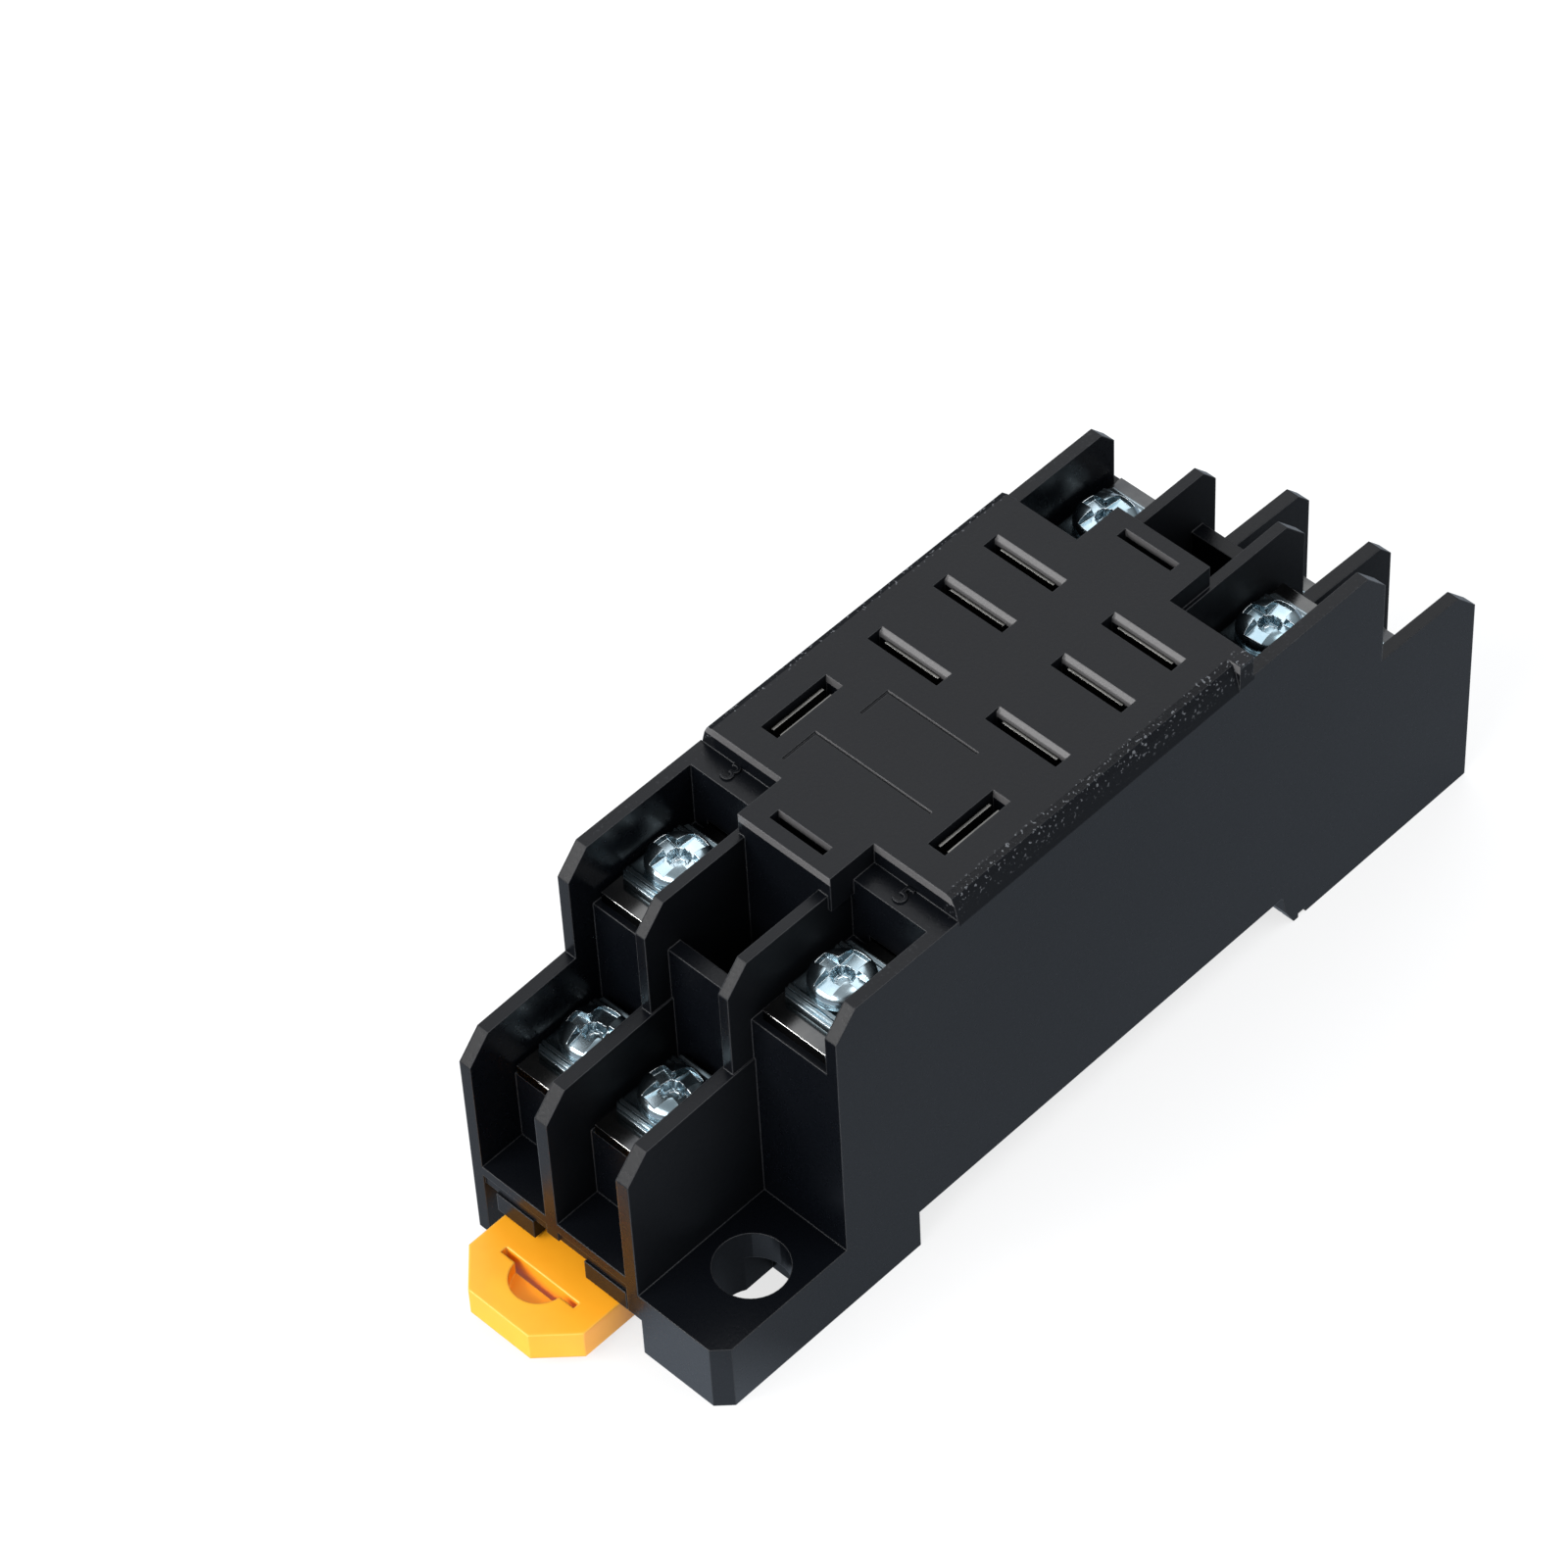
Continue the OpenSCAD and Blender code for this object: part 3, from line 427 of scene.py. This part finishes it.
def softenEdges(piece, width, angle, segments=2):
    bpy.context.view_layer.objects.active = piece
    modifier = piece.modifiers.new("soften", "BEVEL")
    modifier.width = width
    modifier.segments = segments
    modifier.limit_method = "ANGLE"
    modifier.angle_limit = math.radians(angle)
    bpy.ops.object.modifier_apply(modifier=modifier.name)


def finish(piece, smoothAngle, slot):
    bpy.ops.object.select_all(action="DESELECT")
    piece.select_set(True)
    bpy.context.view_layer.objects.active = piece
    bpy.ops.object.shade_smooth_by_angle(angle=math.radians(smoothAngle))
    piece.data.materials.clear()
    piece.data.materials.append(finishes[slot])


def copyTo(master, name, place, turn):
    # Own copy in metres, with its place in its mesh
    bpy.ops.object.select_all(action="DESELECT")
    piece = master.copy()
    piece.data = master.data.copy()
    piece.name = name
    scene.collection.objects.link(piece)
    piece.scale = (mm, mm, mm)
    piece.rotation_euler = (0, 0, math.radians(turn))
    piece.location = place
    piece.select_set(True)
    bpy.context.view_layer.objects.active = piece
    bpy.ops.object.transform_apply(location=True, rotation=True, scale=True)
    return piece


# Terminal screw, in millimetres, with its head standing on z = 0. The head and the centre
# recess are rings of radius and height, and a recess narrows to the share given as floor.
screwLook = {
    "headHeight": 1.6,
    "head": [(2.12, 0.0), (2.24, 0.12), (2.25, 0.30), (2.25, 0.74), (2.19, 0.94), (2.05, 1.11),
             (1.88, 1.26), (1.68, 1.38), (1.42, 1.48), (1.1, 1.55), (0.7, 1.59), (0.3, 1.6)],
    "headSides": 48,
    "slot": {"size": (5.0, 1.8), "depth": 0.66, "floor": (0.70, 0.72)},
    "wing": {"size": (4.9, 1.3), "depth": 0.62, "floor": (0.68, 0.72)},
    "cross": {"size": (2.8, 0.95), "depth": 1.25, "floor": (0.40, 0.7)},
    "recesses": (("slot", 0), ("wing", 90), ("cross", 0), ("cross", 90)),  # each with its turn
    "centre": [(0.25, 0.05), (0.5, 0.45), (1.05, 1.3), (1.05, 2.0)], "centreSides": 8,
    "shankRadius": 1.49, "rootRadius": 1.22, "tip": -7.38, "tipRadius": 0.854, "tipLength": 0.35,
    "pitch": 0.5, "crest": (0.42, 0.58), "threadEnd": -0.6, "neck": (-0.1, 0.3), "shankSides": 32,
    "smooth": 24,
    "turns": [-4, 3, 7, -11, 5, -6, 2, 9],  # how far each screw happens to be turned, degrees
}


def recess(name, arm, top, turn):
    length, width = arm["size"]
    tool = block(name, (0, 0, top), (length, width, arm["depth"] * 2))
    edit(tool)
    pick(tool, "faces", lambda middle, corners: middle.z < top - arm["depth"] * 0.99)  # the lowest face
    bpy.ops.transform.resize(value=(*arm["floor"], 1), center_override=(0, 0, top - arm["depth"]))
    leave()
    tool.rotation_euler = (0, 0, math.radians(turn))
    bpy.ops.object.transform_apply(rotation=True)
    return tool


def threadRings(look):
    root, outer, pitch = look["rootRadius"], look["shankRadius"], look["pitch"]
    rings = [(look["tipRadius"], look["tip"])]
    height = look["tip"] + look["tipLength"]
    while height < look["threadEnd"]:
        rings.append((root, height))
        rings += [(outer, height + pitch * share) for share in look["crest"]]
        height += pitch
    return rings + [(root, height)] + [(outer, neckHeight) for neckHeight in look["neck"]]


def modelScrew(look):
    head = turnedPiece("screwHead", look["head"], look["headSides"])
    for kind, turn in look["recesses"]:
        cut(head, recess(f"{kind}Tool", look[kind], look["headHeight"], turn))
    cut(head, turnedPiece("centreTool", look["centre"], look["centreSides"]))
    shank = turnedPiece("screwShank", threadRings(look), look["shankSides"])
    bpy.ops.object.select_all(action="DESELECT")
    shank.select_set(True)
    head.select_set(True)
    bpy.context.view_layer.objects.active = head
    bpy.ops.object.join()
    return head


screwMaster = modelScrew(screwLook)
for number in terminals:
    low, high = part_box(f"terminal_screw_{number}")
    place = ((low[0] + high[0]) / 2, (low[1] + high[1]) / 2, high[2] - screwLook["headHeight"] * mm)
    screw = copyTo(screwMaster, f"screwPiece_{number}", place, screwLook["turns"][number - 1])
    finish(screw, screwLook["smooth"], "zinc_steel")
    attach(screw, f"screw_{number}")
    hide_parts(f"terminal_screw_{number}")
bpy.data.objects.remove(screwMaster)
print("screws done")

# Clamp washer, in millimetres, standing on z = 0, with ribs across both ends
washerLook = {
    "size": (6.0, 5.15, 0.6), "corner": 0.5, "hole": 1.8, "holeSides": 40,
    "ribs": (1.9, 2.1, 2.3, 2.5, 2.7, 2.88), "ribDepth": 0.14,  # every second line is sunk
    "soft": 0.04, "softAngle": 40, "smooth": 30,
}


def modelWasher(look):
    thickness = look["size"][2]
    washer = block("washer", (0, 0, thickness / 2), look["size"])
    edit(washer)
    pick(washer, "edges", lambda middle, corners: abs(corners[0].z - corners[1].z) > thickness / 2)
    bpy.ops.mesh.bevel(offset=look["corner"], segments=1, affect="EDGES")
    for x in [side * rib for side in (-1, 1) for rib in look["ribs"]]:
        bpy.ops.mesh.select_all(action="SELECT")
        bpy.ops.mesh.bisect(plane_co=(x, 0, 0), plane_no=(1, 0, 0))
    lows = look["ribs"][::2]
    pick(washer, "verts", lambda middle, corners:
         middle.z > thickness * 0.9 and any(abs(abs(middle.x) - rib) < 0.01 for rib in lows))
    bpy.ops.transform.translate(value=(0, 0, -look["ribDepth"]))
    leave()
    ends = (-1.0, thickness + 1.0)  # the hole's tool reaches 1 mm past both faces
    cut(washer, turnedPiece("holeTool", [(look["hole"], height) for height in ends], look["holeSides"]))
    softenEdges(washer, look["soft"], look["softAngle"])
    return washer


washerMaster = modelWasher(washerLook)
for number in terminals:
    low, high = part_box(f"clamp_washer_{number}")
    place = ((low[0] + high[0]) / 2, (low[1] + high[1]) / 2, low[2])
    washer = copyTo(washerMaster, f"washerPiece_{number}", place, 0)
    finish(washer, washerLook["smooth"], "zinc_steel")
    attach(washer, f"washer_{number}")
    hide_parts(f"clamp_washer_{number}")
bpy.data.objects.remove(washerMaster)
print("washers done")

# Small moulded terminal numbers on the two ledges, in millimetres, read from the clip's end
numberLook = {
    "size": 2.05, "relief": 0.14, "sink": 0.04, "edge": 0.02, "height": 28.5, "turn": -90,
    "merge": 0.0005, "smooth": 35,
    "marks": {"3": (-14.4, 7.7), "5": (-14.45, -7.15)},
}


def mouldNumber(text, place, look):
    bpy.ops.object.select_all(action="DESELECT")
    bpy.ops.object.text_add(location=(0, 0, 0))
    mark = bpy.context.object
    mark.name = f"number_{text}"
    mark.data.body = text
    mark.data.size = look["size"]
    mark.data.align_x = "CENTER"
    mark.data.align_y = "CENTER"
    mark.data.extrude = (look["relief"] + look["sink"]) / 2
    mark.data.bevel_depth = look["edge"]
    bpy.ops.object.convert(target="MESH")
    mark = bpy.context.object
    edit(mark)
    bpy.ops.mesh.select_all(action="SELECT")
    bpy.ops.mesh.remove_doubles(threshold=look["merge"])
    bpy.ops.mesh.normals_make_consistent(inside=False)
    leave()
    middle = look["height"] + (look["relief"] - look["sink"]) / 2
    mark.rotation_euler = (0, 0, math.radians(look["turn"]))
    mark.scale = (mm, mm, mm)
    mark.location = (place[0] * mm, place[1] * mm, middle * mm)
    bpy.ops.object.transform_apply(location=True, rotation=True, scale=True)
    finish(mark, look["smooth"], "black_plastic")
    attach(mark, "socket")


for text, place in numberLook["marks"].items():
    mouldNumber(text, place, numberLook)
print("numbers done")

# Floor. A share of plain white (glow) keeps it pale, the rest keeps the object's shadow. What the
# object mirrors of it is dimmer and bluer, but for a glowing patch beside the near flange that only
# reflections see, a painted reflection on the flange. Reach is in metres.
floorLook = {
    "size": 6.0, "colour": (0.93, 0.94, 0.95), "dip": 0.00005, "rough": 0.9, "glow": 0.74,
    "mirrored": 0.9, "mirrorGlow": 0.50, "mirrorTint": (0.74, 0.85, 1.0),
    "patchGlow": 1.25, "patchPlace": (-0.0375, -0.008, 0.0), "patchReach": (0.0045, 0.0095),
}


def floorPaint(look):
    material, tree, shader = newMaterial("floorPaint")
    link = tree.links.new
    shader.inputs["Base Color"].default_value = (*look["colour"], 1)
    shader.inputs["Roughness"].default_value = look["rough"]
    path = addNode(tree, "ShaderNodeLightPath", (-1100, -300))
    isSeen = path.outputs["Is Camera Ray"]
    spot = addNode(tree, "ShaderNodeTexCoord", (-1300, -700))
    away = addNode(tree, "ShaderNodeVectorMath", (-1100, -700), operation="DISTANCE")
    link(spot.outputs["Object"], away.inputs[0])
    away.inputs[1].default_value = look["patchPlace"]
    # Painted reflection: a brighter glowing patch beside the near flange, seen only by reflections
    mirrorGlow = ranged(tree, (-900, -700), away.outputs["Value"], look["patchReach"],
                        (look["patchGlow"], look["mirrorGlow"]))

    # How much of the paint is plain white, and how bright that white is
    shiny = computed(tree, (-900, -350), "MAXIMUM", path.outputs["Is Glossy Ray"],
                     path.outputs["Is Transmission Ray"])
    mirrored = computed(tree, (-700, -450), "MULTIPLY", shiny, look["mirrored"])
    seen = computed(tree, (-700, -250), "MULTIPLY", isSeen, look["glow"])
    share = computed(tree, (-500, -300), "MAXIMUM", seen, mirrored)
    white = addNode(tree, "ShaderNodeEmission", (-300, -500))
    link(ranged(tree, (-500, -700), isSeen, target=(mirrorGlow, 1)), white.inputs["Strength"])
    link(mixColour(tree, (-500, -500), isSeen, look["mirrorTint"], (1, 1, 1)), white.inputs["Color"])
    blend = addNode(tree, "ShaderNodeMixShader", (0, -200))
    link(share, blend.inputs["Fac"])
    link(shader.outputs["BSDF"], blend.inputs[1])
    link(white.outputs["Emission"], blend.inputs[2])
    link(blend.outputs["Shader"], tree.nodes["Material Output"].inputs["Surface"])
    return material


bpy.ops.object.select_all(action="DESELECT")
bpy.ops.mesh.primitive_plane_add(size=floorLook["size"], location=(0, 0, -floorLook["dip"]))
floor = bpy.context.object
floor.name = "floor"
floor.data.materials.append(floorPaint(floorLook))
print("floor done")
